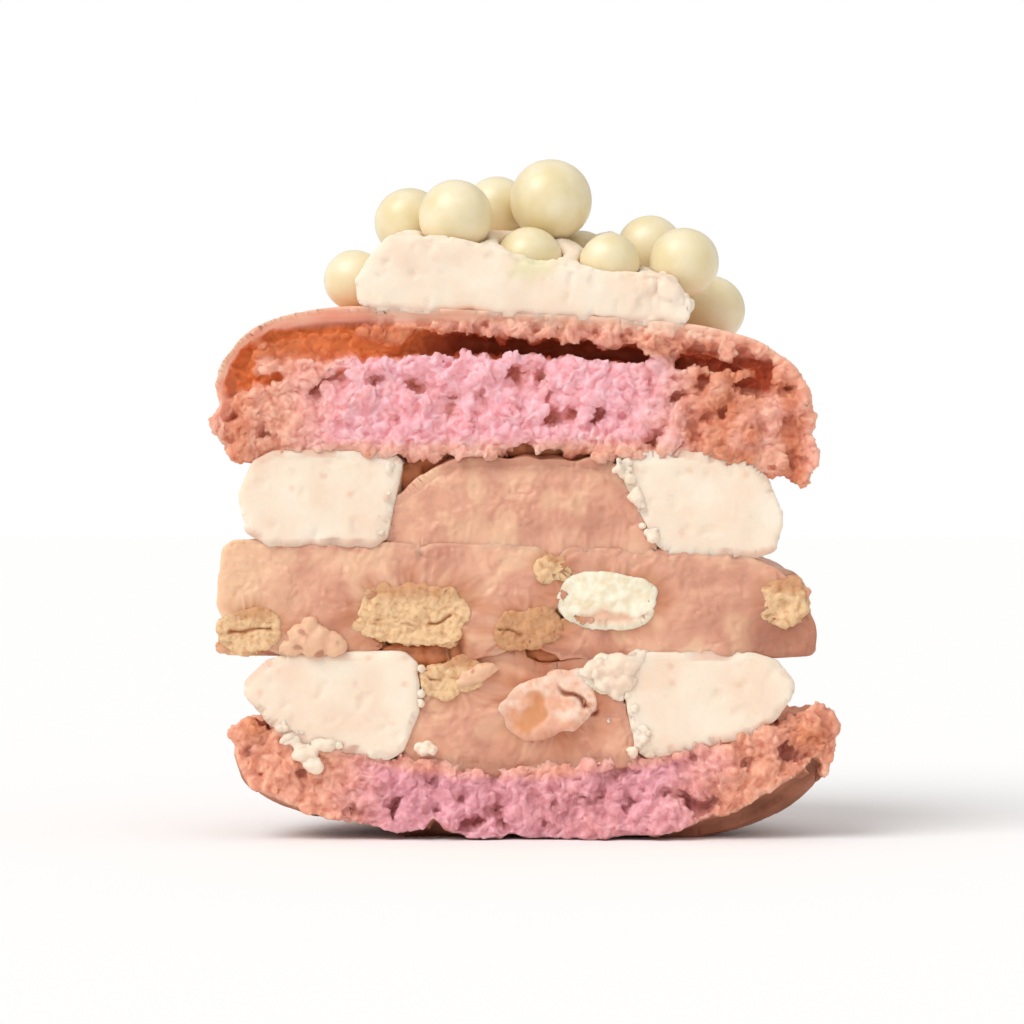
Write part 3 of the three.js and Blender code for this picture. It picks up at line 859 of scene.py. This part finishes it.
chunkNodes = {
    "biscuit_large": "biscuit", "biscuit_crumb": "biscuit", "biscuit_right": "biscuit",
    "biscuit_left": "biscuit", "biscuit_brown": "biscuit", "biscuit_under": "biscuit",
    "white_chunk_large": "whiteChocolate", "white_chunk_small": "whiteChocolate", "berry_chunk": "berry",
}
chunkBoxes = {}
for node in chunkNodes:
    low, high = (corner / mm - Vector((stackX, knifeY, 0.0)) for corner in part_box(node))
    chunkBoxes[node] = ((low + high) / 2, (high - low) / 2)


def aroundChunks(point):
    # how near the point is to a chunk, and the smear that covers the gap round it
    closest = 9.0
    smear = Vector()
    for node, (middle, half) in chunkBoxes.items():
        away = Vector((point.x - middle.x, 0.0, point.z - middle.z))
        share = math.hypot(away.x / (half.x + 0.5), away.z / (half.z + 0.5))
        if share < closest:
            closest = share
            reach = 0.95 + 0.35 * waves(middle + away * (1.0 / share), 1.6, 77)
            smear = away.normalized() * -reach * smoothstep(1.5, 1.05, share) * smoothstep(4.5, 2.5, point.y)
    return smoothstep(1.6, 1.0, closest) * smoothstep(3.5, 1.5, point.y), smear


ganacheValues = {
    "slab": {
        "name": "ganacheSlab", "cell": 0.25, "smoothing": 3, "swell": 0.16, "press": 0.1,
        "sink": 0.0, "bottom": 15.6,
    },
    "upper_core": {
        "name": "upperCore", "cell": 0.24, "smoothing": 5, "swell": 0.4, "press": 0.3,
        "sink": 0.9, "bottom": 23.0,  # it sinks on to the slab, and the lower one into the shell's dish
    },
    "lower_core": {
        "name": "lowerCore", "cell": 0.24, "smoothing": 5, "swell": 0.4, "press": 0.3,
        "sink": 0.5, "bottom": 5.0,
    },
}
slotValues = {"x": -6.4, "z": 15.6, "slope": 0.08, "half": (2.9, 0.75)}  # the hole under the large biscuit
creaseLine = ((4.7, 12.7), (7.1, 10.3))  # x and z of the ends of the crease beside the berry piece


def awayFromLine(x, z, line):
    (x0, z0), (x1, z1) = line
    run, rise = x1 - x0, z1 - z0
    along = min(max(((x - x0) * run + (z - z0) * rise) / (run * run + rise * rise), 0.0), 1.0)
    return math.hypot(x - x0 - run * along, z - z0 - rise * along)


def ganacheRule(node):
    values = ganacheValues[node]

    def rule(point, normal):
        x, y, z = point
        cut = facing(normal)
        wave = 0.16 * waves(point, 3.4, 13) + 0.08 * waves(point, 1.2, 17)
        rough = (0.5 * ragged(point) + 0.16 * waves(point, 0.5, 83)) * cut
        rough *= 0.6 + 0.6 * waves(point, 2.2, 85)
        outline = 0.45 * waves(point, 1.9, 41) if node == "upper_core" else 0.0
        swell = (values["swell"] + values["press"] * abs(normal.z) + outline) * (1.0 - cut)
        near, smear = aroundChunks(point)
        pale, dim, back = 0.0, 0.0, 0.0
        if node == "slab":
            # painted light: the slab's left end is paled as if lit, besides the pale patches at random
            paintedGlow = smoothstep(-16.5, -23.0, x + 1.5 * waves(point, 2.5, 91)) * smoothstep(4.0, 0.5, y)
            pale = max(0.85 * paintedGlow, 0.55 * smoothstep(0.05, 0.4, waves(point, 2.4, 5)))
            wide, tall = slotValues["half"]
            across = x - slotValues["x"]
            above = z - slotValues["z"] - slotValues["slope"] * across
            slot = smoothstep(wide, wide - 0.9, abs(across)) * smoothstep(tall, 0.2, abs(above))
            slot *= smoothstep(3.0, 1.5, y)
            back = slot * cut
            # painted shade at the slab's lower right end, in the hole under the biscuit and along its bottom
            # seam
            shade = 0.75 * smoothstep(15.0, 21.0, x) * smoothstep(21.5, 17.0, z) * smoothstep(4.0, 1.5, y)
            seamShadow = 0.5 * smoothstep(0.9, 0.2, z - 15.0) * bell(x, 3.5, 5.0) * cut
            dim = max(slot, seamShadow, shade)
        elif node == "upper_core":
            pale = 0.5 * smoothstep(0.0, 0.4, waves(point, 2.2, 5))
            # painted shade on the upper core's top, under the shell
            dim = 0.6 * smoothstep(29.4, 30.8, z)
        else:
            pale = 0.3 * smoothstep(0.1, 0.45, waves(point, 2.6, 5))
            crease = smoothstep(0.6, 0.15, awayFromLine(x, z, creaseLine)) * cut
            back = 0.8 * crease
            # painted shade at the lower core's top and bottom and in its crease
            dim = max(0.5 * smoothstep(14.0, 15.0, z), 0.45 * smoothstep(7.6, 6.2, z), crease)
        sink = values["sink"] * smoothstep(2.5, 0.5, z - values["bottom"])
        amber = 0.75 * near * smoothstep(-0.5, 0.3, waves(point, 1.6, 99))
        shift = (smear.x, back, smear.z - sink)
        return swell + wave + rough, shift, {"pale": pale, "amber": amber, "dim": dim}
    return rule


for node, values in ganacheValues.items():
    piece = mergedCopy(values["name"], node)
    refine(piece, values["cell"], values["smoothing"])
    splitFaces(piece, lambda middle, normal: middle.y < 2.0 and normal.y < -0.25)
    sculpt(piece, ganacheRule(node))
    dress(piece, "ganache")

# Pieces of biscuit, white chocolate and berry cream

chunkValues = {"cell": 0.13, "smoothing": 2, "swell": 0.5, "proud": -0.05, "uneven": 0.4}


def chunkSides(point, cut):
    # how far a chunk's sides swell into the ganache round it, and how unevenly
    values = chunkValues
    swell = values["swell"] * (1.0 - cut) + values["proud"] * cut
    return swell, values["uneven"] * waves(point, 1.3, 29) * (1.0 - cut)


def biscuitRule(node):
    middle, half = chunkBoxes[node]
    flattened = 0.75 if node == "biscuit_large" else 0.0  # over the hole under it
    baked = 0.55 if node == "biscuit_brown" else 0.0

    def rule(point, normal):
        cut = facing(normal)
        swell, outline = chunkSides(point, cut)
        outline -= flattened * smoothstep(-0.3, -0.7, normal.z)
        crumb = 0.55 * ragged(point) + 0.16 * (grains(point, 0.55, 47) - 0.5)
        # the crack is sunk and darkened with the crust tone as painted shade
        split = smoothstep(0.25, 0.0, abs(point.z - middle.z + 0.3 + 0.9 * waves(point, 1.6, 53)))
        split *= smoothstep(-0.1, 0.15, waves(point, 1.8, 59)) * cut
        upper = smoothstep(0.45, 0.85, (point.z - middle.z) / half.z)
        return swell + outline + crumb - 0.4 * split, still, {"crust": max(0.55 * upper, 0.8 * split, baked)}
    return rule


def whiteChocolateRule(node):
    middle, half = chunkBoxes[node]

    def rule(point, normal):
        cut = facing(normal)
        swell, outline = chunkSides(point, cut)
        x = (point.x - middle.x) / half.x
        z = (point.z - middle.z) / half.z
        smear = smoothstep(-0.3, -0.75, z + 0.1 * x + 0.5 * waves(point, 1.3, 53)) * cut
        outward = swell + 0.6 * outline + 0.28 * ragged(point) - 0.15 * smear
        return outward, still, {"smear": 0.9 * smear}
    return rule


def berryRule(node):
    # cream folded over jam on the left, with a crevice on the right darkened as painted shade
    middle, half = chunkBoxes[node]

    def rule(point, normal):
        cut = facing(normal)
        swell, outline = chunkSides(point, cut)
        x = (point.x - middle.x) / half.x
        z = (point.z - middle.z) / half.z
        pool = math.hypot(1.3 * (x + 0.35), z + 0.1 - 0.5 * x) + 0.5 * waves(point, 1.1, 53)
        jam = smoothstep(0.7, 0.25, pool) * cut
        fold = bell(math.hypot(x + 0.35, z + 0.1) + 0.2 * waves(point, 1.5, 53), 0.8, 0.16) * cut
        # the crevice is sunk and painted dark as painted shade
        crevice = smoothstep(0.16, 0.04, abs(z + 0.75 * x - 0.62 + 0.25 * waves(point, 1.2, 57)))
        crevice *= smoothstep(0.1, 0.3, x) * cut
        smear = smoothstep(-0.1, -0.8, z + 0.5 * waves(point, 1.6, 59)) * (1.0 - jam)
        outward = swell + outline + 0.2 * ragged(point) + 0.22 * fold - 0.15 * jam - 0.5 * crevice
        return outward, still, {"jam": 0.85 * jam, "crevice": 0.85 * crevice, "smear": 0.8 * smear}
    return rule


chunkRules = {"biscuit": biscuitRule, "whiteChocolate": whiteChocolateRule, "berry": berryRule}

for node, finishName in chunkNodes.items():
    words = node.split("_")
    piece = mergedCopy(words[0] + "".join(word.capitalize() for word in words[1:]), node)
    refine(piece, chunkValues["cell"], chunkValues["smoothing"])
    sculpt(piece, chunkRules[finishName](node))
    dress(piece, finishName)

# Cream mound. A thin film of it covers the front of one pearl, which shows through.

moundValues = {
    "cell": 0.22, "smoothing": 6, "swell": 0.25, "wave": 0.13,
    "film": (1.2, 47.0, 2.7),  # x, z and radius of the pearl that shows through
    "ridge": 46.3,  # the cream between the pearls on the right stands no higher
}


def moundRule(point, normal):
    values = moundValues
    x, y, z = point
    cut = facing(normal)
    swell = values["swell"] * (1.0 - cut)
    wave = waves(point, 2.6, 13) + 0.4 * waves(point, 1.1, 17)
    crumbly = smoothstep(8.5, 11.0, x) * smoothstep(4.0, 1.5, y)
    lumps = 0.7 * (grains(point, 1.3, 97) - 0.5) * crumbly
    corner = cutCorner(point, normal)
    pit = smoothstep(0.34, 0.6, waves(point, 1.0, 23))
    at, high, wide = values["film"]
    film = smoothstep(1.0, 0.35, math.hypot(x - at, (z - high) * 1.1) / wide + 0.25 * waves(point, 1.2, 9))
    low = z - 42.9 + 0.05 * x
    stain = 0.5 * smoothstep(0.9, 0.2, low) * cut
    dip = 0.6 * bell(x, 1.2, 2.4) * smoothstep(46.0, 47.5, z) * smoothstep(5.0, 3.0, y)
    trim = max(0.0, z - values["ridge"]) * 0.85 * smoothstep(8.8, 9.6, x)
    bed = 0.4 * smoothstep(1.6, 0.6, low)
    outward = swell + values["wave"] * wave + lumps + 0.4 * corner * waves(point, 0.8, 31) - 0.15 * pit
    return outward, (0.0, 0.0, -max(dip, trim) - bed), {
        "stain": stain, "film": 0.75 * film * smoothstep(2.5, 1.0, y),
    }


mound = mergedCopy("creamMound", "cream_mound")
refine(mound, moundValues["cell"], moundValues["smoothing"])
sculpt(mound, moundRule)
dress(mound, "buttercream")

# Loose scraps on the cut: cream and ganache that the knife dragged out, and blobs of the amber syrup tone set
# behind the gaps as painted shade. Each has its finish, its cell and a list of blobs as x, y, z and the half
# sizes, melted into one.

scraps = {
    "creamCrumbs": ("buttercream", 0.12, (
        (-7.5, 0.1, 7.5, 0.85, 0.7, 0.75), (-6.9, 0.1, 7.3, 0.5, 0.5, 0.5),
        (9.3, 0.1, 7.1, 0.6, 0.55, 0.6),
        (7.5, 0.3, 9.8, 0.35, 0.3, 0.35),
    )),
    "creamSmear": ("buttercream", 0.14, (
        (-18.3, 0.2, 8.1, 1.2, 0.5, 0.6), (-17.2, 0.1, 7.2, 1.1, 0.6, 0.8), (-16.6, 0.1, 6.3, 0.9, 0.6, 0.8),
        (-16.0, 0.2, 7.8, 1.3, 0.5, 0.45),
    )),
    "creamLump": ("buttercream", 0.16, (
        (5.7, 0.3, 13.5, 1.2, 0.5, 0.5), (7.0, 0.3, 13.9, 1.4, 0.6, 0.8), (8.3, 0.3, 14.2, 1.5, 0.6, 1.0),
        (7.3, 0.3, 12.9, 1.0, 0.6, 0.9), (9.4, 0.4, 14.3, 1.3, 0.6, 0.9), (8.9, 0.3, 12.9, 1.0, 0.6, 1.0),
        (8.2, 0.3, 11.9, 0.8, 0.5, 0.7), (10.0, 0.4, 15.1, 0.9, 0.5, 0.5),
    )),
    "ganacheFold": ("ganache", 0.16, (
        (-17.6, 0.1, 16.7, 1.0, 0.7, 1.0), (-16.4, 0.0, 16.2, 1.5, 0.8, 1.3),
        (-15.0, 0.1, 16.0, 1.3, 0.7, 1.0), (-16.8, 0.1, 17.4, 0.9, 0.6, 0.8),
        (-18.4, 0.2, 15.5, 1.0, 0.6, 0.7),
    )),
    "syrupUnderShell": ("ganache", 0.2, (
        (-8.6, 2.4, 29.6, 1.3, 1.0, 1.8), (-6.9, 2.5, 31.2, 1.6, 1.0, 1.2), (-5.0, 2.4, 31.9, 1.4, 1.0, 1.0),
        (-2.6, 2.3, 32.2, 1.6, 1.0, 1.3), (0.0, 2.3, 32.3, 1.8, 1.0, 1.3), (2.7, 2.3, 32.4, 1.8, 1.0, 1.3),
        (5.2, 2.3, 32.1, 1.6, 1.0, 1.2), (7.6, 2.4, 31.4, 1.5, 1.0, 1.2), (10.0, 2.5, 31.0, 1.4, 1.0, 1.2),
    )),
    "syrupUnderSlab": ("ganache", 0.18, (
        (-9.8, 1.2, 15.6, 1.3, 0.6, 0.5), (-8.2, 1.4, 14.9, 1.0, 0.8, 1.0), (-6.6, 1.4, 15.1, 1.2, 0.7, 1.0),
        (-5.0, 1.4, 15.2, 1.2, 0.7, 1.0), (-3.6, 1.4, 15.1, 1.0, 0.7, 0.9),
        (2.2, 1.7, 15.0, 2.2, 0.9, 0.8), (5.0, 1.8, 15.0, 2.0, 0.9, 0.7),
        (9.1, 1.7, 14.0, 0.9, 0.9, 1.2), (9.1, 1.6, 12.4, 0.9, 0.9, 1.2), (9.4, 1.6, 10.8, 0.9, 0.9, 1.2),
        (9.7, 1.6, 9.2, 0.9, 0.9, 1.2), (-7.7, 1.7, 9.5, 0.9, 0.9, 1.6), (-7.6, 1.7, 12.5, 0.9, 0.9, 1.6),
    )),
    "ganacheFlake": ("ganache", 0.14, (
        (-3.6, 0.1, 13.4, 1.2, 0.5, 0.7), (-2.3, 0.1, 13.9, 1.1, 0.5, 0.5), (-4.4, 0.1, 12.9, 0.8, 0.4, 0.5),
    )),
}


def scrapRule(name, finishName):
    # the blobs behind the gaps take the amber tone as painted shade
    syrup = name.startswith("syrup")
    rough = 1.6 if finishName == "buttercream" else 1.0

    def rule(point, normal):
        lump = 0.2 * (grains(point, 0.9, 101) - 0.5)
        lump += 0.1 * waves(point, 0.6, 103) + 0.25 * waves(point, 1.4, 107)
        return rough * lump, still, {
            "stain": 0.1, "film": 0.0, "pale": 0.0 if syrup else 0.6, "amber": 0.9 if syrup else 0.0,
            "dim": 0.7 * smoothstep(0.45, 0.6, waves(point, 0.9, 111)),
        }
    return rule


# Small crumbs of cream stand along the rings' edges.
ringEdges = (  # x and z of each end, how many and how large
    ((-10.1, 31.3), (-11.2, 25.2), 9, (0.18, 0.34)), ((8.2, 31.2), (9.8, 27.4), 13, (0.25, 0.55)),
    ((9.9, 27.2), (11.3, 24.0), 7, (0.2, 0.4)), ((-7.9, 14.2), (-7.8, 9.8), 7, (0.18, 0.32)),
    ((9.0, 11.4), (10.4, 7.6), 9, (0.2, 0.42)), ((-19.5, 9.4), (-13.0, 7.2), 8, (0.2, 0.4)),
)
dice = random.Random(21)
edgeCrumbs = []
for (x0, z0), (x1, z1), count, sizes in ringEdges:
    for k in range(count):
        along = dice.random()
        size = dice.uniform(*sizes)
        edgeCrumbs.append((
            x0 + (x1 - x0) * along + dice.gauss(0.0, 0.25), dice.uniform(0.0, 0.3),
            z0 + (z1 - z0) * along + dice.gauss(0.0, 0.15), size, size * 0.9, size * dice.uniform(0.7, 1.1),
        ))
scraps["ringCrumbs"] = ("buttercream", 0.11, edgeCrumbs)

for name, (finishName, cell, blobs) in scraps.items():
    bm = bmesh.new()
    for x, y, z, wide, deep, tall in blobs:
        size = Matrix.Diagonal((wide * mm, deep * mm, tall * mm, 1.0))
        blob = Matrix.Translation(place(x, y, z)) @ size
        bmesh.ops.create_icosphere(bm, subdivisions=3, radius=1.0, matrix=blob)
    mesh = bpy.data.meshes.new(name)
    bm.to_mesh(mesh)
    bm.free()
    scrap = addPiece(name, mesh)
    refine(scrap, cell, 4)
    sculpt(scrap, scrapRule(name, finishName))
    dress(scrap, finishName)

# Pearls

pearlValues = {"unevenness": 0.02, "subdivisions": 4}

for node in sorted(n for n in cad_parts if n.startswith("pearl_")):
    centre = sum(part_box(node), Vector()) / 2
    radius = max((vertex.co - centre).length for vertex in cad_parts[node].data.vertices)
    bm = bmesh.new()
    bmesh.ops.create_icosphere(bm, subdivisions=pearlValues["subdivisions"], radius=radius)
    for vertex in bm.verts:
        lump = noise.noise(vertex.co / radius * 1.1 + centre / mm)
        vertex.co *= 1.0 + pearlValues["unevenness"] * (lump - 0.3)
        vertex.co += centre
    mesh = bpy.data.meshes.new("chocolatePearl" + node[-2:])
    bm.to_mesh(mesh)
    bm.free()
    dress(addPiece(mesh.name, mesh, node), "pearl")

# Stage, light and camera

stageValues = {"size": 3.0, "colour": "#fdfdfd"}

bm = bmesh.new()
bmesh.ops.create_grid(bm, x_segments=1, y_segments=1, size=stageValues["size"])
floorMesh = bpy.data.meshes.new("paleTable")
bm.to_mesh(floorMesh)
bm.free()
table = bpy.data.objects.new("paleTable", floorMesh)
bpy.context.scene.collection.objects.link(table)
paper, tree, where, mask = newMaterial("matteWhitePaper")
fibre = addNode(tree, "TexNoise", None, {"Vector": where, "Scale": perMm(0.6)})
tooth = addNode(tree, "Bump", None, {"Height": fibre, "Strength": 0.05, "Distance": 0.05 * mm})
finish(tree, addNode(tree, "BsdfPrincipled", None, {
    "Base Color": stageValues["colour"], "Roughness": 0.9, "Specular IOR Level": 0.1, "Normal": tooth,
}))
floorMesh.materials.append(paper)
table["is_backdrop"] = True

# A window a long way off on the upper left is the key light, and the pale room fills in the rest.
lightValues = {
    "towards": (-0.50, -0.46, 0.74), "strength": 1.75, "spread": 40.0, "colour": "#fffefc",
    "room": 0.62, "wall": 1.0,
}
lamp = bpy.data.lights.new("windowLight", "SUN")
lamp.energy = lightValues["strength"]
lamp.angle = math.radians(lightValues["spread"])
lamp.color = linear(lightValues["colour"])[:3]
window = bpy.data.objects.new("windowLight", lamp)
bpy.context.scene.collection.objects.link(window)
window.rotation_euler = Vector(lightValues["towards"]).to_track_quat("Z", "Y").to_euler()

world = bpy.data.worlds.new("studio")
bpy.context.scene.world = world
world.use_nodes = True
tree = world.node_tree
tree.nodes.clear()
toEye = addNode(tree, "LightPath", out="Is Camera Ray")
room = addNode(tree, "Background", None, {"Color": "#ffffff", "Strength": lightValues["room"]})
wall = addNode(tree, "Background", None, {"Color": "#ffffff", "Strength": lightValues["wall"]})
seen = addNode(tree, "MixShader", None, {0: toEye, 1: room, 2: wall})
tree.links.new(seen, tree.nodes.new("ShaderNodeOutputWorld").inputs["Surface"])

# The lens looks level at the cut face, and a pixel of the 1024 frame covers 0.0812 mm of it.
shot = {"pixel": 0.0812, "frame": 1024, "sensor": 36.0, "distance": 260.0, "aimX": -0.4, "aimZ": 26.7}
camera = bpy.data.cameras.new("shot")
camera.sensor_width = shot["sensor"]
camera.lens = shot["sensor"] * shot["distance"] / (shot["pixel"] * shot["frame"])
camera.clip_start = 0.01
viewer = bpy.data.objects.new("shot", camera)
bpy.context.scene.collection.objects.link(viewer)
viewer.location = place(shot["aimX"], -shot["distance"], shot["aimZ"])
viewer.rotation_euler = (math.radians(90), 0.0, 0.0)
bpy.context.scene.camera = viewer
bpy.context.scene.view_settings.view_transform = "Standard"
print("stage, light and camera set")

sizes = {"cad": [list(corner) for corner in cadBounds], "visual": [list(corner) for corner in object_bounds()]}
